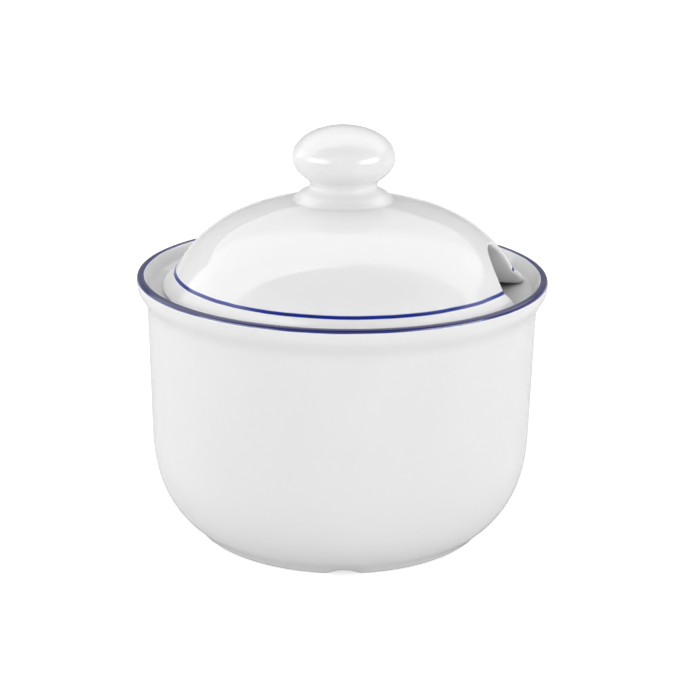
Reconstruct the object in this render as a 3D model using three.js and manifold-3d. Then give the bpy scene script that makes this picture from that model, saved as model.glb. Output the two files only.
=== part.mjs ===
// Covered sugar bowl in glazed hard porcelain: a footed bowl with a rolled lip and an inner ledge,
// and a thick domed lid with a ball knob and an arched notch for the handle of a spoon.
// Millimetres, +Z up. The origin is on the table, under the centre of the foot ring.

import * as THREE from 'three';
import { mergeVertices } from 'three/addons/utils/BufferGeometryUtils.js';
import Module from 'manifold-3d';

// ---- Driving dimensions ----

const wallThickness = 4.3;
const edgeFillet = 1.2; // on thick edges
const smallFillet = 0.7; // on the foot ring and the ledge
const seatGap = 0.3; // between pieces that touch

const lipRadius = 50; // the widest point of the bowl
const lipHeight = 63.9; // crest of the rolled lip
const lipThickness = 2.3; // across the crest, where the blue band runs
const lipFaceHeight = 3.5; // the upright outer face of the lip
const lipUnderside = 56; // where the lip swells out of the wall
const wallTopRadius = 47.6;
const wallFootRadius = 47;
const heelHeight = 11.5; // where wall and underside would meet if the belly had no curve
const bellyFillet = 31; // the big curve from the wall in to the foot

const footRadius = 36.8; // outside of the standing ring
const footWidth = 3.2;
const footHeight = 2.3; // up to the faint crease above the ring
const creaseRadius = 38.9;
const footRecess = 3.2; // height of the underside inside the ring
const drainNotches = 4;
const drainNotchWidth = 10;
const drainNotchDepth = 1.5;
const drainNotchTurn = THREE.MathUtils.degToRad(2); // the front notch, turned from -Y towards +X

const floorHeight = 7.2;
const floorRadius = 37;
const innerBellyFillet = 17;
const ledgeRootHeight = 51; // where the ledge grows out of the inner wall
const ledgeInnerRadius = 39.6; // the mouth of the bowl, inside the ledge
const ledgeInnerHeight = 58.8;
const ledgeOuterRadius = 46.3;
const ledgeOuterHeight = 60.9;
const ledgeFace = 2; // height of the ledge's inner face

const flangeRadius = 44.55;
const flangeInnerRadius = 38.6;
const flangeUnderside = 60.1;
const flangeEdgeTop = 62.6;
const lidLineRadius = 41.4; // where dome and flange meet, under the thin blue line
const lidLineHeight = 64.4;
const shoulderRadius = 34; // where the dome's side and top would meet if it had no shoulder curve
const shoulderHeight = 75.9;
const shoulderFillet = 30;
const crownRadius = 13; // the flat seat of the knob's foot
const crownHeight = 81.6;
const lidHollowHeight = 77.2; // inside of the dome, on the axis
const innerShoulderRadius = 30.4;
const innerShoulderHeight = 72.8;
const innerShoulderFillet = 24;

const spoonNotchHalfWidth = 11.4;
const spoonNotchSpring = 63.4; // where its upright sides turn into the arch
const spoonNotchTop = 73;
const spoonNotchTurn = THREE.MathUtils.degToRad(-11); // from +X, anticlockwise from above

const knobFootRadius = 12.2;
const knobFootTop = 83.4;
const neckRadius = 8;
const neckHeight = 85.4;
const knobRadius = 12.3;
const knobHalfHeight = 7.8;
const totalHeight = 99.9;

const segments = 64; // around the axis
const knobSegments = 36;
const chordError = 0.06; // how far a rounded corner's facets may stray from the true arc

// ---- Outlines ----

// The points of a rounded corner, along an arc that touches both of its sides.
function filletArc(previous, corner, next, radius) {
  const back = previous.clone().sub(corner).normalize();
  const ahead = next.clone().sub(corner).normalize();
  const turn = Math.PI - back.angleTo(ahead);
  const turnsLeft = back.cross(ahead) < 0;
  const start = corner.clone().addScaledVector(back, radius * Math.tan(turn / 2));
  const inward = back.clone().add(ahead).normalize();
  const centre = corner.clone().addScaledVector(inward, radius / Math.cos(turn / 2));
  const stepTurn = 2 * Math.acos(1 - chordError / radius);
  const steps = Math.max(2, Math.ceil(turn / stepTurn));
  const stepAngle = (turnsLeft ? turn : -turn) / steps;
  return Array.from({ length: steps + 1 }, (_, i) => start.clone().rotateAround(centre, i * stepAngle));
}

// A half-section from corners given as [radius, height] or, rounded, [radius, height, fillet].
function halfSection(corners) {
  const sharp = corners.map(([radius, height]) => new THREE.Vector2(radius, height));
  return corners.flatMap(([, , fillet], i) =>
    fillet ? filletArc(sharp[i - 1], sharp[i], sharp[i + 1], fillet) : [sharp[i]]
  );
}

// ---- Solids ----

const wasm = await Module();
wasm.setup();

// Keeps positions only, joins the points that coincide, and drops the flat triangles at the axis.
function weld(geometry) {
  const bare = geometry.clone();
  bare.deleteAttribute('normal');
  bare.deleteAttribute('uv');
  const welded = mergeVertices(bare, 1e-4);
  const index = Array.from(welded.index.array);
  const kept = [];
  for (let i = 0; i < index.length; i += 3) {
    const [a, b, c] = index.slice(i, i + 3);
    if (a !== b && b !== c && c !== a) kept.push(a, b, c);
  }
  welded.setIndex(kept);
  return welded;
}

function toSolid(geometry) {
  const welded = weld(geometry);
  return new wasm.Manifold(
    new wasm.Mesh({
      numProp: 3,
      vertProperties: new Float32Array(welded.attributes.position.array),
      triVerts: new Uint32Array(welded.index.array),
    })
  );
}

function toGeometry(solid) {
  const mesh = solid.getMesh();
  const geometry = new THREE.BufferGeometry();
  geometry.setAttribute('position', new THREE.BufferAttribute(mesh.vertProperties, 3));
  geometry.setIndex(new THREE.BufferAttribute(mesh.triVerts, 1));
  geometry.computeVertexNormals();
  return geometry;
}

// Turns a half-section around +Z.
function revolve(points, count = segments) {
  return new THREE.LatheGeometry(points, count).rotateX(Math.PI / 2);
}

function cut(geometry, cutters) {
  const solid = cutters.reduce((rest, cutter) => rest.subtract(toSolid(cutter)), toSolid(geometry));
  return toGeometry(solid);
}

// ---- Bowl ----

function bowlOutline() {
  const footInnerRadius = footRadius - footWidth;
  return halfSection([
    [0, footRecess],
    [footInnerRadius, footRecess, edgeFillet],
    [footInnerRadius, 0, smallFillet],
    [footRadius, 0, smallFillet],
    [creaseRadius, footHeight],
    [wallFootRadius, heelHeight, bellyFillet],
    [wallTopRadius, lipUnderside, edgeFillet * 2],
    [lipRadius, lipHeight - lipFaceHeight, edgeFillet],
    [lipRadius, lipHeight, edgeFillet],
    [lipRadius - lipThickness, lipHeight, smallFillet],
    [ledgeOuterRadius, ledgeOuterHeight, edgeFillet],
    [ledgeInnerRadius, ledgeInnerHeight, smallFillet],
    [ledgeInnerRadius, ledgeInnerHeight - ledgeFace, smallFillet],
    [wallTopRadius - wallThickness, ledgeRootHeight, wallThickness],
    [wallFootRadius - wallThickness, heelHeight + ledgeFace, innerBellyFillet],
    [floorRadius, floorHeight, wallThickness],
    [0, floorHeight],
  ]);
}

// A round bar laid along -Y under the foot ring, which leaves a shallow arch in the ring.
function drainNotchCutter(turn) {
  const halfWidth = drainNotchWidth / 2;
  const barRadius = (halfWidth ** 2 + drainNotchDepth ** 2) / (2 * drainNotchDepth);
  const bar = new THREE.CylinderGeometry(barRadius, barRadius, footWidth * 4, segments);
  bar.translate(0, -(footRadius - footWidth / 2), drainNotchDepth - barRadius);
  return bar.rotateZ(turn);
}

function bowlGeometry() {
  const cutters = Array.from({ length: drainNotches }, (_, i) =>
    drainNotchCutter(drainNotchTurn + (i * 2 * Math.PI) / drainNotches)
  );
  return cut(revolve(bowlOutline()), cutters);
}

// ---- Lid ----

function lidOutline() {
  return halfSection([
    [0, lidHollowHeight],
    [innerShoulderRadius, innerShoulderHeight, innerShoulderFillet],
    [flangeInnerRadius, flangeUnderside, smallFillet],
    [flangeRadius, flangeUnderside, edgeFillet],
    [flangeRadius, flangeEdgeTop, edgeFillet],
    [lidLineRadius, lidLineHeight, smallFillet],
    [shoulderRadius, shoulderHeight, shoulderFillet],
    [crownRadius, crownHeight],
    [0, crownHeight],
  ]);
}

// A bar with an arched top that runs outwards through the flange and the foot of the dome.
function spoonNotchCutter() {
  const below = flangeUnderside - wallThickness;
  const arch = new THREE.Shape();
  arch.moveTo(-spoonNotchHalfWidth, below);
  arch.lineTo(spoonNotchHalfWidth, below);
  arch.lineTo(spoonNotchHalfWidth, spoonNotchSpring);
  const rise = spoonNotchTop - spoonNotchSpring;
  arch.absellipse(0, spoonNotchSpring, spoonNotchHalfWidth, rise, 0, Math.PI);
  const bar = new THREE.ExtrudeGeometry(arch, { depth: lipRadius, bevelEnabled: false, curveSegments: 10 });
  bar.translate(0, 0, crownRadius);
  bar.rotateX(Math.PI / 2).rotateZ(Math.PI / 2);
  return bar.rotateZ(spoonNotchTurn);
}

function lidGeometry() {
  return cut(revolve(lidOutline()), [spoonNotchCutter()]);
}

// ---- Knob ----

function knobOutline() {
  const footUnderside = crownHeight + seatGap;
  const centreHeight = totalHeight - knobHalfHeight;
  const neckAngle = -Math.acos((neckRadius + 1) / knobRadius);
  const ball = new THREE.EllipseCurve(0, centreHeight, knobRadius, knobHalfHeight, neckAngle, Math.PI / 2);
  const stem = halfSection([
    [0, footUnderside],
    [knobFootRadius, footUnderside],
    [knobFootRadius, knobFootTop, smallFillet],
    [neckRadius, neckHeight - smallFillet, smallFillet],
    [neckRadius, neckHeight],
  ]);
  return [...stem, ...ball.getPoints(10)];
}

function knobGeometry() {
  return weld(revolve(knobOutline(), knobSegments));
}

// ---- Object ----

// White porcelain under a clear, very smooth glaze.
function glazedPorcelain() {
  return new THREE.MeshStandardMaterial({ color: 0xf1f1ef, roughness: 0.12, metalness: 0 });
}

function piece(name, geometry) {
  const mesh = new THREE.Mesh(geometry, glazedPorcelain());
  mesh.name = name;
  return mesh;
}

const sugarBowl = new THREE.Group();
sugarBowl.name = 'sugar_bowl';
sugarBowl.add(
  piece('bowl', bowlGeometry()),
  piece('lid_shell', lidGeometry()),
  piece('lid_knob', knobGeometry())
);

export default sugarBowl;
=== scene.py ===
"""Covered sugar bowl in white glazed porcelain with cobalt lines: bowl, domed lid with a spoon notch, knob.

Outlines are in millimetres, as radius and height; meshes, lights and the camera are in metres.
"""

import math

import bmesh
import bpy
import numpy as np
from mathutils import Matrix, Vector


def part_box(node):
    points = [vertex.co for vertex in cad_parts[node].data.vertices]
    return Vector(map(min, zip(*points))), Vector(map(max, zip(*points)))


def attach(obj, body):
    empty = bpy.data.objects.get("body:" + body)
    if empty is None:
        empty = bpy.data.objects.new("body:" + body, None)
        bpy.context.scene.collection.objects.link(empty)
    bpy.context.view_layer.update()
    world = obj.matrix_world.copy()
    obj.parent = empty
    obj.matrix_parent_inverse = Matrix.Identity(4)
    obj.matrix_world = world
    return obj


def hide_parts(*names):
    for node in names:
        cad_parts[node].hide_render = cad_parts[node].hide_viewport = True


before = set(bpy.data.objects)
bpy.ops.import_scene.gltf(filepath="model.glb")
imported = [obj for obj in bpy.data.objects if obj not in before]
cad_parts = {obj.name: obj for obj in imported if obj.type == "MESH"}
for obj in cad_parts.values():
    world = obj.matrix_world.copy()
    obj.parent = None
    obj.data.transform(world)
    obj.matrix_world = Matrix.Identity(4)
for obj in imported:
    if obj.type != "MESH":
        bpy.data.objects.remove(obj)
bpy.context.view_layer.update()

MM = 0.001
bowl_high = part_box("bowl")[1] / MM
shell_low, shell_high = (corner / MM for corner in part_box("lid_shell"))
knob_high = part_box("lid_knob")[1] / MM

# ---- Sizes in millimetres, from the frame ----

LIP_RADIUS = bowl_high.x
LIP_HEIGHT = bowl_high.z
FLANGE_RADIUS = -shell_low.x
FLANGE_UNDERSIDE = shell_low.z
CROWN_HEIGHT = shell_high.z
KNOB_RADIUS = knob_high.x
TOP = knob_high.z

STEPS_AROUND = 256  # faces round the bowl and the knob
LONGEST_STEP = 1.6  # along an outline
SHARPEST_BEND = math.radians(6)  # between two rows of faces
SAME_POINT = 2e-6  # metres, within which two points are made one

# The cobalt lines, and how far each one reaches down from its highest point
BAND_MIDDLE = LIP_RADIUS - 0.62
BAND_WIDTH = 2.5
BAND_DROP = 1.6
LID_LINE_RADIUS = 41.5
LID_LINE_WIDTH = 0.55
LID_LINE_DROP = 0.6
LINE_EDGE = 0.04  # half of the width over which a line's edge fades
LINE_PALE_EDGE = 0.3  # how far in from its edge a line gets darker
LINE_WANDER = 0.2

# The bowl
WALL_TOP_RADIUS = LIP_RADIUS - 2.38
WALL_LEAN = 0.016  # outwards, for each millimetre up
BELLY_HEIGHT = 24.9  # where the wall starts to curve in
BELLY_RADIUS = WALL_TOP_RADIUS - 0.6
BELLY_DEPTH = 28.5
BELLY_TUCK = 27.4  # how far the curve would come in if it went down by its whole depth
BELLY_POWER = 2.43
FOOT_RADIUS = 36.8
FOOT_WIDTH = 3.2
FOOT_RECESS = 3.2
WALL_THICKNESS = 4.3
FLOOR_HEIGHT = 7.2
LEDGE_OUTER = (46.4, LIP_HEIGHT - 3.05)
LEDGE_INNER = (38.4, LIP_HEIGHT - 5.5)
DRAIN_NOTCHES = 4
DRAIN_NOTCH_WIDTH = 10
DRAIN_NOTCH_DEPTH = 1.5
DRAIN_NOTCH_TURN = math.radians(2)
NOTCH_SOFTNESS = 0.8  # over which a drain notch runs out into the ring

# The lid
DOME_RADIUS = FLANGE_RADIUS + 1.35
DOME_BASE = CROWN_HEIGHT - 41.15
DOME_RISE = 41.3
DOME_POWER = 2.62
LID_WALL = 6.2
HOLLOW_RISE = DOME_RISE - 4.55
DOME_TOP_RADIUS = 20  # inside this the dome rises a little more, towards the knob
DOME_TOP_SLOPE = 0.06
FLANGE_EDGE_HEIGHT = FLANGE_UNDERSIDE + 1.6
EDGE_ROUND = 1.05  # how far the glaze rounds the lid's cut edges
CORNER_ROUND = 2.2  # the flange's corners beside the notch, seen from above
HIDDEN_RADIUS = 10.5  # the shell is closed by a flat face under the knob's foot
LID_SHIFT = 0.75  # the dome stands a little to the right of the knob
SHIFT_REACH = 14  # how far out from the knob's foot the shift grows to its full size
NOTCH_HALF_WIDTH = 10.95
NOTCH_SPRING = FLANGE_UNDERSIDE + 3.3  # where its upright sides turn into the arch
NOTCH_TOP = FLANGE_UNDERSIDE + 12.1
NOTCH_TILT = math.radians(20)  # the cut slopes down towards the inside
NOTCH_TURN = math.radians(-10.4)
LID_COLUMNS = 512  # of faces round the lid
NOTCH_COLUMNS = 96  # of them round the notch
FAN_ANGLE = math.radians(32)  # how wide the notch's columns open on each side, towards the middle
CROWN_RADIUS = 26  # outside this the rows take the notch's shape, on top of the lid
HOLLOW_RADIUS = 22  # and underneath
AXIS_RADIUS = 0.001  # near enough to the axis to be closed to one point

# The knob
BALL_RADIUS = KNOB_RADIUS + 0.1
BALL_TOP = TOP - 0.25
BALL_HALF_HEIGHT = 7.55
NECK_RADIUS = 8.0
NECK_HEIGHT = TOP - 14.4
KNOB_FOOT_RADIUS = 11.4
SEAM_RADIUS = 12.9  # where the knob's foot has sunk into the dome


# ---- Outlines ----


def soften(corners, spacing=0.1):
    """The line through corners given as (radius, height, softness), rounded as glaze rounds an edge."""
    points = np.array([corner[:2] for corner in corners], float)
    softness = np.array([corner[2] for corner in corners], float)
    run = np.r_[0, np.cumsum(np.hypot(*np.diff(points, axis=0).T))]
    count = int(run[-1] / spacing) + 1
    place, step = np.linspace(0, run[-1], count, retstep=True)
    line = np.stack([np.interp(place, run, points[:, axis]) for axis in (0, 1)], 1)
    reach = int(4 * softness.max() / step) + 1
    before = 2 * line[0] - line[reach:0:-1]
    after = 2 * line[-1] - line[-2 : -reach - 2 : -1]
    padded = np.concatenate([before, line, after])
    offsets = np.arange(-reach, reach + 1) * step
    softened = []
    for i, spread in enumerate(np.interp(place, run, softness)):
        weight = np.exp(-0.5 * (offsets / spread) ** 2)
        softened.append(weight @ padded[i : i + len(offsets)] / weight.sum())
    return np.array(softened)


def rows_along(line, longest=LONGEST_STEP, bend=SHARPEST_BEND):
    """Points of a line for the rows of a mesh: close where it bends, far apart where it runs straight."""
    steps = np.diff(line, axis=0)
    heading = np.unwrap(np.arctan2(steps[:, 1], steps[:, 0]))
    turn = np.abs(np.diff(heading, prepend=heading[0]))
    need = np.r_[0, np.cumsum(np.hypot(*steps.T) / longest + turn / bend)]
    place = np.linspace(0, need[-1], math.ceil(need[-1]) + 1)
    return np.stack([np.interp(place, need, line[:, axis]) for axis in (0, 1)], 1)


def superellipse(radius, share, power):
    """Height, as a share of the rise, of a round form that is fuller than an ellipse."""
    return (1 - np.minimum(radius / share, 1) ** power) ** (1 / power)


def belly_radius(height):
    """Radius of the bowl's outside: a nearly upright wall that curves in to the foot."""
    wall = BELLY_RADIUS + WALL_LEAN * (height - BELLY_HEIGHT)
    depth = np.clip((BELLY_HEIGHT - height) / BELLY_DEPTH, 0, 1)
    return wall - BELLY_TUCK * (1 - superellipse(depth, 1, BELLY_POWER))


def bowl_outline():
    """From the middle of the underside, up the outside, over the lip and down to the middle of the floor."""
    foot_inner = FOOT_RADIUS - FOOT_WIDTH
    ledge_root = LEDGE_INNER[1] - 7.8
    outside = [
        (belly_radius(height), height, 1.0)
        for height in np.linspace(3.6, LIP_HEIGHT - 12, 60)
    ]
    inside = [
        (belly_radius(height) - WALL_THICKNESS - 0.2, height, 2.0)
        for height in np.linspace(ledge_root, FLOOR_HEIGHT + 7, 40)
    ]
    return soften(
        [
            (0, FOOT_RECESS + 0.5, 1.0),
            (foot_inner - 9, FOOT_RECESS + 0.4, 1.0),
            (foot_inner, FOOT_RECESS, 1.0),
            (foot_inner + 0.4, 0, 0.35),
            (FOOT_RADIUS - 0.2, 0, 0.35),
            (FOOT_RADIUS + 1.4, 2.1, 1.3),
            *outside,
            (WALL_TOP_RADIUS, LIP_HEIGHT - 6.7, 1.1),
            (LIP_RADIUS - 0.3, LIP_HEIGHT - 3.4, 0.7),
            (LIP_RADIUS + 0.05, LIP_HEIGHT - 1.9, 0.6),
            (LIP_RADIUS - 0.1, LIP_HEIGHT + 0.1, 0.6),
            (LIP_RADIUS - 1.9, LIP_HEIGHT + 0.1, 0.5),
            (*LEDGE_OUTER, 0.5),
            (*LEDGE_INNER, 0.5),
            (LEDGE_INNER[0], LEDGE_INNER[1] - 2.2, 0.8),
            *inside,
            (36.0, FLOOR_HEIGHT + 0.2, 3.5),
            (0, FLOOR_HEIGHT, 1.0),
        ]
    )


def dome_height(radius):
    rise = DOME_TOP_SLOPE * np.maximum(DOME_TOP_RADIUS - radius, 0)
    return DOME_BASE + DOME_RISE * superellipse(radius, DOME_RADIUS, DOME_POWER) + rise


def dome_outline():
    """From under the knob's foot down the dome, and on along the flange past its edge."""
    radii = np.linspace(HIDDEN_RADIUS, LID_LINE_RADIUS, 60)
    dome = [(radius, dome_height(radius), 0.6) for radius in radii]
    past_edge = (FLANGE_RADIUS + 3.5, FLANGE_EDGE_HEIGHT - 3.1, 0.5)
    return soften([*dome, (FLANGE_RADIUS, FLANGE_EDGE_HEIGHT, 0.5), past_edge])


def knob_outline():
    """From the top of the ball over the neck and the foot, which runs out into the dome and sinks into it."""
    ball_centre = BALL_TOP - BALL_HALF_HEIGHT
    lowest = -math.acos((NECK_RADIUS + 0.6) / KNOB_RADIUS)
    ball = [
        (BALL_RADIUS * math.cos(angle), ball_centre + BALL_HALF_HEIGHT * math.sin(angle), 0.3)
        for angle in np.linspace(math.pi / 2, lowest, 50)
    ]
    foot_height = dome_height(KNOB_FOOT_RADIUS)
    seam_height = dome_height(SEAM_RADIUS)
    return soften(
        [
            *ball,
            (NECK_RADIUS - 0.1, NECK_HEIGHT, 0.4),
            (NECK_RADIUS + 0.4, NECK_HEIGHT - 0.9, 0.4),
            (KNOB_FOOT_RADIUS - 0.8, NECK_HEIGHT - 1.9, 0.45),
            (KNOB_FOOT_RADIUS + 0.1, foot_height + 0.8, 0.45),
            (KNOB_FOOT_RADIUS + 0.4, foot_height + 0.1, 0.4),
            (SEAM_RADIUS, seam_height - 0.08, 0.3),
            (SEAM_RADIUS + 0.1, seam_height - 0.5, 0.1),
            (0, seam_height - 0.5, 0.1),
        ]
    )


# ---- Nodes ----

# The sockets of a Mix node that mixes colours
MIX_SHARE, MIX_FIRST, MIX_SECOND, MIX_RESULT = 0, 6, 7, 2
# And those of one that mixes two levels
LEVEL_SHARE, LEVEL_FIRST, LEVEL_SECOND = 0, 2, 3


def add_node(tree, kind, inputs=(), **settings):
    """Adds a node with its settings. Inputs come by name or in order, each a value, a node or its output."""
    made = tree.nodes.new(kind)
    for name, value in settings.items():
        setattr(made, name, value)
    for name, value in inputs.items() if isinstance(inputs, dict) else enumerate(inputs):
        if isinstance(value, bpy.types.Node):
            value = value.outputs[0]
        if isinstance(value, bpy.types.NodeSocket):
            tree.links.new(value, made.inputs[name])
        else:
            made.inputs[name].default_value = value
    return made


def colour(hex_code):
    """An sRGB hex value as linear red, green, blue and alpha."""
    shares = [int(hex_code[i : i + 2], 16) / 255 for i in (1, 3, 5)]
    linear = [s / 12.92 if s <= 0.04045 else ((s + 0.055) / 1.055) ** 2.4 for s in shares]
    return (*linear, 1)


# ---- Materials ----


def glazed_porcelain(name, line=None):
    """Hard porcelain, glost fired: a dense white body under a clear glaze, with a cobalt line under it.

    The eye gets a mirror-smooth but slightly wavy gloss over a soft, faintly translucent white.
    """
    material = bpy.data.materials.new(name)
    material.use_nodes = True
    tree = material.node_tree
    tree.nodes.clear()
    place = add_node(tree, "ShaderNodeTexCoord").outputs["Object"]

    # The firing leaves the white very slightly uneven, in patches of about 15 mm
    cloud = add_node(tree, "ShaderNodeTexNoise", {"Vector": place, "Scale": 1 / 0.015, "Detail": 3})
    whites = {MIX_SHARE: cloud, MIX_FIRST: colour("#e2e2e2"), MIX_SECOND: colour("#e6e6e6")}
    body = add_node(tree, "ShaderNodeMix", whites, data_type="RGBA").outputs[MIX_RESULT]

    # Rare pale specks in the body, a quarter of a millimetre across
    speck = add_node(tree, "ShaderNodeTexVoronoi", {"Vector": place, "Scale": 1 / 0.009})
    speck_limits = {"Value": speck, "From Min": 0.012, "From Max": 0.02, "To Min": 1, "To Max": 0}
    speck_mask = add_node(tree, "ShaderNodeMapRange", speck_limits)

    # Only the standing ring is wiped clean of glaze before firing
    height = add_node(tree, "ShaderNodeSeparateXYZ", (place,)).outputs["Z"]
    ring_limits = {"Value": height, "From Min": 0.2 * MM, "From Max": 0.4 * MM, "To Min": 1, "To Max": 0}
    bare = add_node(tree, "ShaderNodeMapRange", ring_limits)
    gloss = add_node(tree, "ShaderNodeMapRange", {"Value": bare, "To Min": 0.035, "To Max": 0.6})

    layers = [(speck_mask, colour("#dcdad5")), (bare, colour("#e2ded6"))]
    if line:
        layers.insert(1, cobalt_line(tree, line))
    for mask, over in layers:
        mixed = {MIX_SHARE: mask, MIX_FIRST: body, MIX_SECOND: over}
        body = add_node(tree, "ShaderNodeMix", mixed, data_type="RGBA").outputs[MIX_RESULT]

    # Glaze flows level, but leaves waves 12 mm long and a few hundredths high
    wave = add_node(tree, "ShaderNodeTexNoise", {"Vector": place, "Scale": 1 / 0.012, "Detail": 1})
    bump = add_node(tree, "ShaderNodeBump", {"Height": wave, "Distance": 0.06 * MM, "Strength": 1})
    shader = add_node(
        tree,
        "ShaderNodeBsdfPrincipled",
        {
            "Base Color": body,
            "Roughness": gloss,
            "Normal": bump,
            "IOR": 1.65,
            "Subsurface Weight": 0.35,
            "Subsurface Radius": (1.0, 0.98, 0.96),
            "Subsurface Scale": 2 * MM,
        },
        subsurface_method="RANDOM_WALK",
    )
    add_node(tree, "ShaderNodeOutputMaterial", {"Surface": shader})
    return material


def cobalt_line(tree, line):
    """Cobalt oxide banded on with a brush as the ware turned: dense in the middle, brighter at its edges.

    It can run over an edge, so it is measured outwards from the axis and then down on both sides.
    """
    place = add_node(tree, "ShaderNodeTexCoord").outputs["Object"]
    centre = (line["shift"] * MM, 0, 0)
    centred = add_node(tree, "ShaderNodeVectorMath", (place, centre), operation="SUBTRACT")
    flat = add_node(tree, "ShaderNodeVectorMath", (centred, (1, 1, 0)), operation="MULTIPLY")
    radius = add_node(tree, "ShaderNodeVectorMath", (flat,), operation="LENGTH").outputs["Value"]
    height = add_node(tree, "ShaderNodeSeparateXYZ", (centred,)).outputs["Z"]
    out = add_node(tree, "ShaderNodeMath", (radius, line["radius"] * MM), operation="SUBTRACT")
    fall = add_node(tree, "ShaderNodeMath", (line["crest"] * MM, height), operation="SUBTRACT")
    down = add_node(tree, "ShaderNodeMath", (fall, 0), operation="MAXIMUM")
    side = add_node(tree, "ShaderNodeMath", (out,), operation="SIGN")
    weight = add_node(tree, "ShaderNodeMath", (side, line["over_edge"]), operation="MULTIPLY")
    along = add_node(tree, "ShaderNodeMath", (down, weight, out), operation="MULTIPLY_ADD")

    # The hand and the brush let the line wander by a twentieth of a millimetre or so
    noise = add_node(tree, "ShaderNodeTexNoise", {"Vector": place, "Scale": 1 / 0.01, "Detail": 2})
    wander = (noise, LINE_WANDER * MM, -LINE_WANDER / 2 * MM)
    shift = add_node(tree, "ShaderNodeMath", wander, operation="MULTIPLY_ADD")
    moved = add_node(tree, "ShaderNodeMath", (along, shift), operation="ADD")
    across = add_node(tree, "ShaderNodeMath", (moved,), operation="ABSOLUTE")

    # Each fades from 1 at its first limit to 0 at its second
    half = line["width"] / 2
    within, above, dense = (
        add_node(
            tree,
            "ShaderNodeMapRange",
            {"Value": value, "From Min": start * MM, "From Max": end * MM, "To Min": 1, "To Max": 0},
        )
        for value, start, end in (
            (across, half - LINE_EDGE, half + LINE_EDGE),
            (down, line["drop"], line["drop"] + 0.1),
            (across, half - LINE_PALE_EDGE, half),
        )
    )
    mask = add_node(tree, "ShaderNodeMath", (within, above), operation="MULTIPLY")
    blues = {MIX_SHARE: dense, MIX_FIRST: colour("#1c3cac"), MIX_SECOND: colour("#0c125a")}
    blue = add_node(tree, "ShaderNodeMix", blues, data_type="RGBA")
    return mask, blue.outputs[MIX_RESULT]


def white_acrylic():
    """The table, a sheet of opal acrylic: lit through to white for the lens, pale grey for the ware."""
    material = bpy.data.materials.new("opal_acrylic_table")
    material.use_nodes = True
    tree = material.node_tree
    seen = add_node(tree, "ShaderNodeLightPath").outputs["Is Camera Ray"]
    glow = add_node(tree, "ShaderNodeMath", (seen, TABLE_GLOW), operation="MULTIPLY")
    shader = tree.nodes["Principled BSDF"]
    shader.inputs["Base Color"].default_value = colour("#dcdcdc")
    shader.inputs["Roughness"].default_value = 0.8
    shader.inputs["Specular IOR Level"].default_value = 0.0
    shader.inputs["Emission Color"].default_value = (1, 1, 1, 1)
    tree.links.new(glow.outputs[0], shader.inputs["Emission Strength"])
    return material


# ---- Meshes ----


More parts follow.
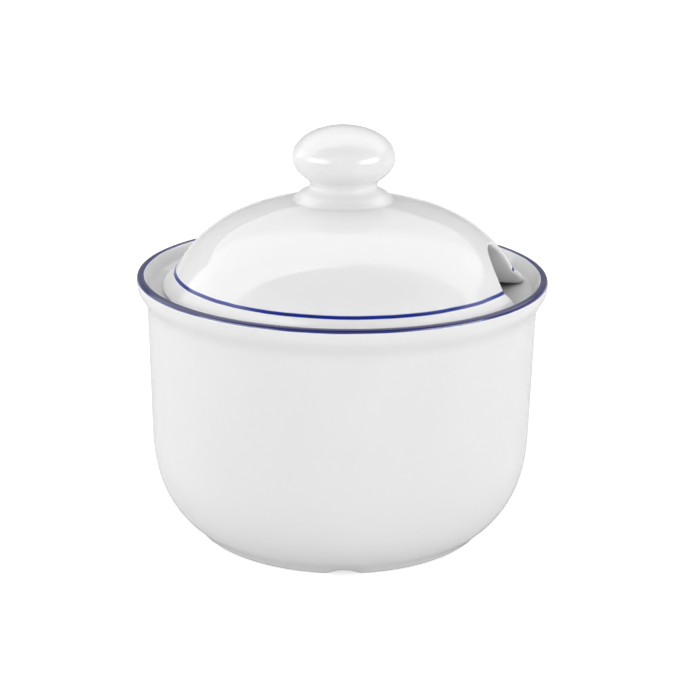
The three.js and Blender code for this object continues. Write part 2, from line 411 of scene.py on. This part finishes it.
def turned_ware_tree():
    """Geometry nodes that turn an outline on the wheel, and press soft notches into its foot ring."""
    tree = bpy.data.node_groups.new("Turned ware", "GeometryNodeTree")
    sockets = {
        "Outline": "Geometry",
        "Steps Around": "Int",
        "Notches": "Int",
        "Notch Width": "Float",
        "Notch Depth": "Float",
        "Notch Turn": "Float",
        "Foot Radius": "Float",
        "Glaze": "Material",
    }
    for name, kind in sockets.items():
        tree.interface.new_socket(name, in_out="INPUT", socket_type="NodeSocket" + kind)
    tree.interface.new_socket("Ware", in_out="OUTPUT", socket_type="NodeSocketGeometry")
    given = add_node(tree, "NodeGroupInput").outputs

    # A sheet of faces with one column for each step and one row for each point of the outline
    rows = add_node(tree, "GeometryNodeAttributeDomainSize", (given["Outline"],)).outputs["Point Count"]
    columns = add_node(tree, "ShaderNodeMath", (given["Steps Around"], 1), operation="ADD")
    sheet = add_node(tree, "GeometryNodeMeshGrid", {"Vertices X": columns, "Vertices Y": rows})
    index = add_node(tree, "GeometryNodeInputIndex")
    share = add_node(tree, "ShaderNodeMath", (index, rows), operation="DIVIDE")
    column = add_node(tree, "ShaderNodeMath", (share,), operation="FLOOR")
    row = add_node(tree, "ShaderNodeMath", (index, rows), operation="MODULO")
    place = add_node(tree, "GeometryNodeInputPosition")
    read = {"Geometry": given["Outline"], "Value": place, "Index": row}
    point = add_node(tree, "GeometryNodeSampleIndex", read, data_type="FLOAT_VECTOR")
    outline = add_node(tree, "ShaderNodeSeparateXYZ", (point,)).outputs
    turns = add_node(tree, "ShaderNodeMath", (column, given["Steps Around"]), operation="DIVIDE")
    angle = add_node(tree, "ShaderNodeMath", (turns, math.tau), operation="MULTIPLY")

    # A notch is one swell of a cosine wave, as wide along the ring as the notch width
    at_least_one = add_node(tree, "ShaderNodeMath", (given["Notches"], 1), operation="MAXIMUM")
    half_spacing = add_node(tree, "ShaderNodeMath", (math.pi, at_least_one), operation="DIVIDE")
    past_first = add_node(tree, "ShaderNodeMath", (angle, given["Notch Turn"]), operation="SUBTRACT")
    nearest = add_node(tree, "ShaderNodeMath", (past_first, half_spacing), operation="PINGPONG")
    along = add_node(tree, "ShaderNodeMath", (nearest, given["Foot Radius"]), operation="MULTIPLY")
    widths = add_node(tree, "ShaderNodeMath", (along, given["Notch Width"]), operation="DIVIDE")
    within = add_node(tree, "ShaderNodeMath", (widths, 0.5), operation="MINIMUM")
    phase = add_node(tree, "ShaderNodeMath", (within, math.tau), operation="MULTIPLY")
    wave = add_node(tree, "ShaderNodeMath", (phase,), operation="COSINE")
    swell = add_node(tree, "ShaderNodeMath", (wave, 0.5, 0.5), operation="MULTIPLY_ADD")
    ceiling = add_node(tree, "ShaderNodeMath", (swell, given["Notch Depth"]), operation="MULTIPLY")
    softness = add_node(tree, "ShaderNodeMath", (ceiling, NOTCH_SOFTNESS * MM), operation="MINIMUM")
    height = add_node(tree, "ShaderNodeMath", (outline["Z"], ceiling, softness), operation="SMOOTH_MAX")

    # Column 0 lies towards -Y
    sine = add_node(tree, "ShaderNodeMath", (angle,), operation="SINE")
    cosine = add_node(tree, "ShaderNodeMath", (angle,), operation="COSINE")
    across = add_node(tree, "ShaderNodeMath", (outline["X"], sine), operation="MULTIPLY")
    forward = add_node(tree, "ShaderNodeMath", (outline["X"], cosine), operation="MULTIPLY")
    back = add_node(tree, "ShaderNodeMath", (0, forward), operation="SUBTRACT")
    position = add_node(tree, "ShaderNodeCombineXYZ", (across, back, height))

    ware = sheet
    for kind, inputs in (
        ("GeometryNodeSetPosition", {"Position": position}),
        ("GeometryNodeMergeByDistance", {"Distance": SAME_POINT}),
        ("GeometryNodeSetShadeSmooth", {}),
        ("GeometryNodeRealizeInstances", {}),
        ("GeometryNodeSetMaterial", {"Material": given["Glaze"]}),
    ):
        ware = add_node(tree, kind, {"Geometry": ware, **inputs})
    add_node(tree, "NodeGroupOutput", (ware,))
    return tree


def new_object(name, mesh):
    made = bpy.data.objects.new(name, mesh)
    bpy.context.scene.collection.objects.link(made)
    return made


def finish_mesh(mesh):
    """Closes seams and poles, turns all faces outwards, and keeps only the hidden seam's rim sharp."""
    work = bmesh.new()
    work.from_mesh(mesh)
    bmesh.ops.remove_doubles(work, verts=work.verts, dist=SAME_POINT)
    bmesh.ops.recalc_face_normals(work, faces=work.faces)
    work.to_mesh(mesh)
    work.free()
    mesh.shade_smooth()
    mesh.set_sharp_from_angle(angle=math.radians(40))


def turn_on_wheel(name, line, glaze, **sizes):
    """A plain mesh turned from an outline by the geometry nodes."""
    points = rows_along(line)
    mesh = bpy.data.meshes.new(name)
    corners = [(radius * MM, 0, height * MM) for radius, height in points]
    mesh.from_pydata(corners, [(i, i + 1) for i in range(len(corners) - 1)], [])
    ware = new_object(name, mesh)
    modifier = ware.modifiers.new("Turned ware", "NODES")
    modifier.node_group = bpy.data.node_groups.get("Turned ware") or turned_ware_tree()
    sizes = {"steps_around": STEPS_AROUND, "glaze": glaze, **sizes}
    for item in modifier.node_group.interface.items_tree:
        key = item.name.lower().replace(" ", "_")
        if item.in_out == "INPUT" and key in sizes:
            modifier[item.identifier] = sizes[key]
    evaluated = ware.evaluated_get(bpy.context.evaluated_depsgraph_get())
    turned = bpy.data.meshes.new_from_object(evaluated)
    ware.modifiers.clear()
    ware.data = turned
    finish_mesh(turned)
    return ware


# ---- Bowl ----


def bowl_piece():
    band = {
        "radius": BAND_MIDDLE,
        "width": BAND_WIDTH,
        "crest": LIP_HEIGHT,
        "drop": BAND_DROP,
        "over_edge": 1,
        "shift": 0,
    }
    glaze = glazed_porcelain("bowl_hard_porcelain", band)
    piece = turn_on_wheel(
        "porcelain_bowl",
        bowl_outline(),
        glaze,
        notches=DRAIN_NOTCHES,
        notch_width=DRAIN_NOTCH_WIDTH * MM,
        notch_depth=DRAIN_NOTCH_DEPTH * MM,
        notch_turn=DRAIN_NOTCH_TURN,
        foot_radius=(FOOT_RADIUS - FOOT_WIDTH / 2) * MM,
    )
    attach(piece, "bowl")
    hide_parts("bowl")


# ---- Knob ----


def knob_piece():
    piece = turn_on_wheel("ball_knob", knob_outline(), glazed_porcelain("knob_hard_porcelain"))
    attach(piece, "lid_knob")
    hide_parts("lid_knob")


# ---- Lid shell ----


def round_edge(distances, amount):
    """The distance to the solid inside several surfaces, with its edges rounded by a radius."""
    over = np.maximum(np.array(distances) + amount, 0)
    return np.minimum(np.max(distances, axis=0), -amount) + np.linalg.norm(over, axis=0)


class LidShape:
    """How far a point lies outside the lid: dome, hollow, flange and notch, with their edges rounded."""

    def __init__(self, line):
        self.radii = np.linspace(0, FLANGE_RADIUS + 3, 600)
        self.outside = np.interp(self.radii, line[:, 0], line[:, 1])
        hollow_shape = superellipse(self.radii, DOME_RADIUS - LID_WALL, DOME_POWER)
        self.hollow = np.maximum(DOME_BASE + HOLLOW_RISE * hollow_shape, FLANGE_UNDERSIDE - 8)
        self.along = Vector((math.cos(NOTCH_TILT), math.sin(NOTCH_TILT)))
        flange_cut = FLANGE_RADIUS - 1.4
        spring_distance = math.sqrt(flange_cut**2 - NOTCH_HALF_WIDTH**2)
        top_distance = np.interp(-NOTCH_TOP, -self.outside, self.radii)
        self.spring = self.level(spring_distance, NOTCH_SPRING)
        self.rise = self.level(top_distance, NOTCH_TOP) - self.spring

    def level(self, outwards, height):
        """Height measured square to the tilted cut of the notch."""
        return height * self.along.x - outwards * self.along.y

    def height_outside(self, radius):
        return np.interp(radius, self.radii, self.outside)

    def height_below(self, radius):
        return np.maximum(np.interp(radius, self.radii, self.hollow), FLANGE_UNDERSIDE)

    def notch(self, outwards, sideways, height):
        """Positive inside the notch: a bar with upright sides and an arched top."""
        level = self.level(outwards, height) - self.spring
        up = np.maximum(level, 0) / self.rise
        side = sideways / NOTCH_HALF_WIDTH
        size = np.hypot(side, up)
        slope = np.hypot(side / NOTCH_HALF_WIDTH, up / self.rise)
        inside = size * (1 - size) / np.maximum(slope, 1e-6)
        return np.where(outwards > DOME_TOP_RADIUS, inside, -50)

    def distance(self, points):
        outwards, sideways, height = points.T
        radius = np.hypot(outwards, sideways)
        walls = []
        for surface, sign in ((self.outside, 1), (self.hollow, -1)):
            slope = np.interp(radius, self.radii, np.gradient(surface, self.radii))
            level = np.interp(radius, self.radii, surface)
            walls.append(sign * (height - level) / np.hypot(1, slope))
        walls.append(FLANGE_UNDERSIDE - height)
        plan = [radius - FLANGE_RADIUS, self.notch(outwards, sideways, height)]
        walls.append(round_edge(plan, CORNER_ROUND))
        return round_edge(walls, EDGE_ROUND)

    def settle(self, points, rounds=8, reach=0.01):
        """Moves points onto the surface, each along the steepest way there."""
        for _ in range(rounds):
            gap = self.distance(points)
            rises = [
                self.distance(points + shift) - self.distance(points - shift)
                for shift in np.eye(3) * reach
            ]
            steepest = np.stack(rises, 1) / (2 * reach)
            size = np.maximum((steepest**2).sum(1), 0.25)
            points = points - (gap / size)[:, None] * steepest
        return points


def spread_along(path, count):
    """So many points at even steps along a path, ends included."""
    run = np.r_[0, np.cumsum(np.linalg.norm(np.diff(path, axis=0), axis=1))]
    place = np.linspace(0, run[-1], count)
    return np.stack([np.interp(place, run, axis) for axis in path.T], 1)


def notch_edge(shape, height_of, count):
    """Half of the notch's edge, outside or underneath, from the flange's rim up to the arch's top."""
    corner = math.sqrt(FLANGE_RADIUS**2 - NOTCH_HALF_WIDTH**2)
    outwards = np.linspace(0, corner, 800)
    edge = []
    for sideways in NOTCH_HALF_WIDTH * np.sin(np.linspace(math.pi / 2, 0, 60)):
        height = height_of(np.hypot(outwards, sideways))
        points = np.stack([outwards, np.full(len(outwards), sideways), height], 1)
        inside = shape.notch(*points.T) > 0
        edge.append(points[np.argmax(inside)] if inside.any() else points[-1])
    edge[0] = np.array([edge[1][0], NOTCH_HALF_WIDTH, edge[1][2]])
    rim = np.array([corner, NOTCH_HALF_WIDTH, float(height_of(FLANGE_RADIUS))])
    return spread_along(np.array([rim, *edge]), count)


def lid_angles():
    """The angles of the columns of faces that end on the round rim, and of all columns near the middle.

    The notch has its own columns, which open out into a wide fan towards the middle.
    """
    corner_angle = math.asin(NOTCH_HALF_WIDTH / FLANGE_RADIUS)
    steps = LID_COLUMNS - NOTCH_COLUMNS + 1
    rim_angles = np.linspace(corner_angle, math.tau - corner_angle, steps)[1:-1]
    wide_angles = np.linspace(FAN_ANGLE, math.tau - FAN_ANGLE, steps)[1:-1]
    fan = np.linspace(0, FAN_ANGLE, NOTCH_COLUMNS // 2 + 1)
    return rim_angles, np.concatenate([fan, wide_angles, -fan[:0:-1]])


def lid_loops(shape):
    """The closed loops of points of the lid's mesh, from under the knob over the outside and back inside."""
    rim_angles, angles = lid_angles()

    def rim_loop(height_of):
        edge = notch_edge(shape, height_of, NOTCH_COLUMNS // 2 + 1)
        height = np.full(len(rim_angles), float(height_of(FLANGE_RADIUS)))
        across, back = FLANGE_RADIUS * np.cos(rim_angles), FLANGE_RADIUS * np.sin(rim_angles)
        return np.concatenate([edge[::-1], np.stack([across, back, height], 1), (edge * (1, -1, 1))[:-1]])

    def ring(radius, height):
        return np.stack([radius * np.cos(angles), radius * np.sin(angles), np.full(len(angles), height)], 1)

    def sheet(start_radius, rim, height_of, shares):
        start = ring(start_radius, 0)
        loops = []
        for share in shares:
            loop = start + share * (rim - start)
            loop[:, 2] = height_of(np.hypot(loop[:, 0], loop[:, 1]))
            loops.append(loop)
        return loops

    top_rim = rim_loop(shape.height_outside)
    low_rim = rim_loop(shape.height_below)
    shares = np.r_[np.linspace(0, 0.6, 13)[1:], np.linspace(0.6, 1, 30)[1:]]  # close together near the rim
    crown_radii = np.linspace(HIDDEN_RADIUS + 0.2, CROWN_RADIUS, 20)
    hollow_radii = np.linspace(HOLLOW_RADIUS, AXIS_RADIUS, 18)
    hidden_height = dome_height(SEAM_RADIUS) - 1.0
    hidden = [ring(radius, hidden_height) for radius in (AXIS_RADIUS, 5, HIDDEN_RADIUS)]
    crown = [ring(radius, float(shape.height_outside(radius))) for radius in crown_radii]
    outside = sheet(CROWN_RADIUS, top_rim, shape.height_outside, shares)
    wall = [top_rim + share * (low_rim - top_rim) for share in np.linspace(0, 1, 14)[1:-1]]
    below = sheet(HOLLOW_RADIUS, low_rim, shape.height_below, shares[::-1])
    hollow = [ring(radius, float(shape.height_below(radius))) for radius in hollow_radii]
    moving = np.concatenate([*crown, *outside, *wall, *below, *hollow])
    return np.concatenate([*hidden, shape.settle(moving)])


def place_lid(points):
    """Turns the notch to its place, and shifts the dome but not the seat of the knob's foot."""
    placed = points @ np.array(Matrix.Rotation(NOTCH_TURN, 3, "Z")).T
    spread = np.clip((np.hypot(placed[:, 0], placed[:, 1]) - SEAM_RADIUS) / SHIFT_REACH, 0, 1)
    placed[:, 0] += LID_SHIFT * spread**2 * (3 - 2 * spread)
    return placed * MM


def lid_shell_piece():
    points = lid_loops(LidShape(dome_outline()))
    faces = [
        (
            row * LID_COLUMNS + column,
            row * LID_COLUMNS + (column + 1) % LID_COLUMNS,
            (row + 1) * LID_COLUMNS + (column + 1) % LID_COLUMNS,
            (row + 1) * LID_COLUMNS + column,
        )
        for row in range(len(points) // LID_COLUMNS - 1)
        for column in range(LID_COLUMNS)
    ]
    mesh = bpy.data.meshes.new("domed_lid")
    mesh.from_pydata(place_lid(points).tolist(), [], faces)
    piece = new_object("domed_lid", mesh)
    finish_mesh(mesh)
    line = {
        "radius": LID_LINE_RADIUS,
        "width": LID_LINE_WIDTH,
        "crest": dome_height(LID_LINE_RADIUS),
        "drop": LID_LINE_DROP,
        "over_edge": 0,
        "shift": LID_SHIFT,
    }
    mesh.materials.append(glazed_porcelain("lid_hard_porcelain", line))
    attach(piece, "lid_shell")
    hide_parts("lid_shell")


# ---- Studio ----

# How bright each part of the studio is, where 1 is white
FRONT_LOW_LIGHT = 4.4
FRONT_MID_LIGHT = 0.7
FRONT_HIGH_LIGHT = 0.1
LEFT_LIGHT = 1.8
RIGHT_LIGHT = 0.6
BACK_LIGHT = 0.4
TENT_LIGHT = 1.6
TENT_BACK_LIGHT = 1.0
SOFTBOX_LIGHT = 1.8
TABLE_GLOW = 0.6

# The camera: its distance and aim as shares of the lip's radius, the aim's height as a share of the whole
LENS = 82.3
LENS_PITCH = math.radians(17.84)
LENS_ROLL = math.radians(0.8)
LENS_DISTANCE = 7.95
AIM_SIDEWAYS = 0.042
AIM_HEIGHT = 0.436


def add_camera():
    """A long lens in front of the bowl and a little above it."""
    camera = new_object("camera", bpy.data.cameras.new("camera"))
    bpy.context.scene.camera = camera
    camera.data.sensor_width = 36
    camera.data.lens = LENS
    camera.data.clip_start = 0.01
    pitch = LENS_PITCH
    roll = LENS_ROLL
    distance = LENS_DISTANCE * LIP_RADIUS * MM
    target = Vector((AIM_SIDEWAYS * LIP_RADIUS * MM, 0, AIM_HEIGHT * TOP * MM))
    forward = Vector((0, math.cos(pitch), -math.sin(pitch)))
    upright = Vector((0, math.sin(pitch), math.cos(pitch)))
    sideways = Vector((1, 0, 0))
    right = math.cos(roll) * sideways + math.sin(roll) * upright
    up = -math.sin(roll) * sideways + math.cos(roll) * upright
    camera.location = target - distance * forward
    camera.rotation_mode = "QUATERNION"
    camera.rotation_quaternion = Matrix((right, up, -forward)).transposed().to_quaternion()


def zone_mask(tree, fades):
    """1 inside one part of the studio, 0 outside. Each fade is (direction, limit where 0, limit where 1)."""
    mask = 1
    for direction, none, full in fades:
        limits = {"Value": direction, "From Min": none, "From Max": full, "To Max": mask}
        mask = add_node(tree, "ShaderNodeMapRange", limits, interpolation_type="SMOOTHSTEP")
    return mask


def add_studio():
    """A white tent that light comes through from above, with the camera's side left dark.

    Light comes from low down on both sides of the camera, more from the left than from the right,
    little from low down at the back, and from one softbox on the right.
    """
    world = bpy.data.worlds.new("white_studio")
    bpy.context.scene.world = world
    world.use_nodes = True
    tree = world.node_tree

    # Directions as X, Y and Z, as degrees round from the camera, and as radians towards the right
    towards = add_node(tree, "ShaderNodeTexCoord").outputs["Generated"]
    way = add_node(tree, "ShaderNodeSeparateXYZ", (towards,)).outputs
    ahead = add_node(tree, "ShaderNodeMath", (way["Y"], -1), operation="MULTIPLY")
    azimuth = add_node(tree, "ShaderNodeMath", (way["X"], ahead), operation="ARCTAN2")
    to_side = add_node(tree, "ShaderNodeMath", (azimuth,), operation="ABSOLUTE")
    turned = add_node(tree, "ShaderNodeMath", (to_side, 180 / math.pi), operation="MULTIPLY")

    # Each part is laid over the ones before it
    overhead = ((way["Y"], 0.075, 0.095), (way["Z"], 0.40, 0.43))
    zones = (
        (FRONT_LOW_LIGHT, (turned, 28, 42), (way["Z"], 0.4, 0.26)),
        (FRONT_HIGH_LIGHT, (way["Z"], 0.68, 0.82)),
        (LEFT_LIGHT, (turned, 81, 84), (way["X"], 0.05, -0.05)),
        (RIGHT_LIGHT, (turned, 81, 84), (way["X"], -0.05, 0.05)),
        (BACK_LIGHT, (turned, 127, 131), (way["Z"], 0.43, 0.40)),
        (TENT_LIGHT, *overhead),
        (TENT_BACK_LIGHT, *overhead, (way["Y"], 0.6, 0.75)),
    )
    light = FRONT_MID_LIGHT
    for level, *fades in zones:
        layers = {LEVEL_SHARE: zone_mask(tree, fades), LEVEL_FIRST: light, LEVEL_SECOND: level}
        light = add_node(tree, "ShaderNodeMix", layers)
    softbox = zone_mask(
        tree,
        [(azimuth, 0.76, 0.82), (azimuth, 1.57, 1.51), (way["Z"], 0.14, 0.17), (way["Z"], 0.42, 0.39)],
    )
    lit = add_node(tree, "ShaderNodeMath", (softbox, SOFTBOX_LIGHT, light), operation="MULTIPLY_ADD")

    # The lens itself sees the backdrop as white
    seen = add_node(tree, "ShaderNodeLightPath").outputs["Is Camera Ray"]
    strength = add_node(tree, "ShaderNodeMath", (lit, seen), operation="MAXIMUM")
    background = tree.nodes["Background"]
    background.inputs["Color"].default_value = (1, 1, 1, 1)
    tree.links.new(strength.outputs[0], background.inputs["Strength"])
    bpy.context.scene.view_settings.view_transform = "Standard"


def add_floor():
    mesh = bpy.data.meshes.new("floor")
    reach = 6.0
    just_below = -0.02 * MM
    corners = [(x * reach, y * reach, just_below) for x, y in ((-1, -1), (1, -1), (1, 1), (-1, 1))]
    mesh.from_pydata(corners, [], [(0, 1, 2, 3)])
    mesh.materials.append(white_acrylic())
    new_object("floor", mesh)


add_camera()
add_studio()
add_floor()
bowl_piece()
knob_piece()
lid_shell_piece()
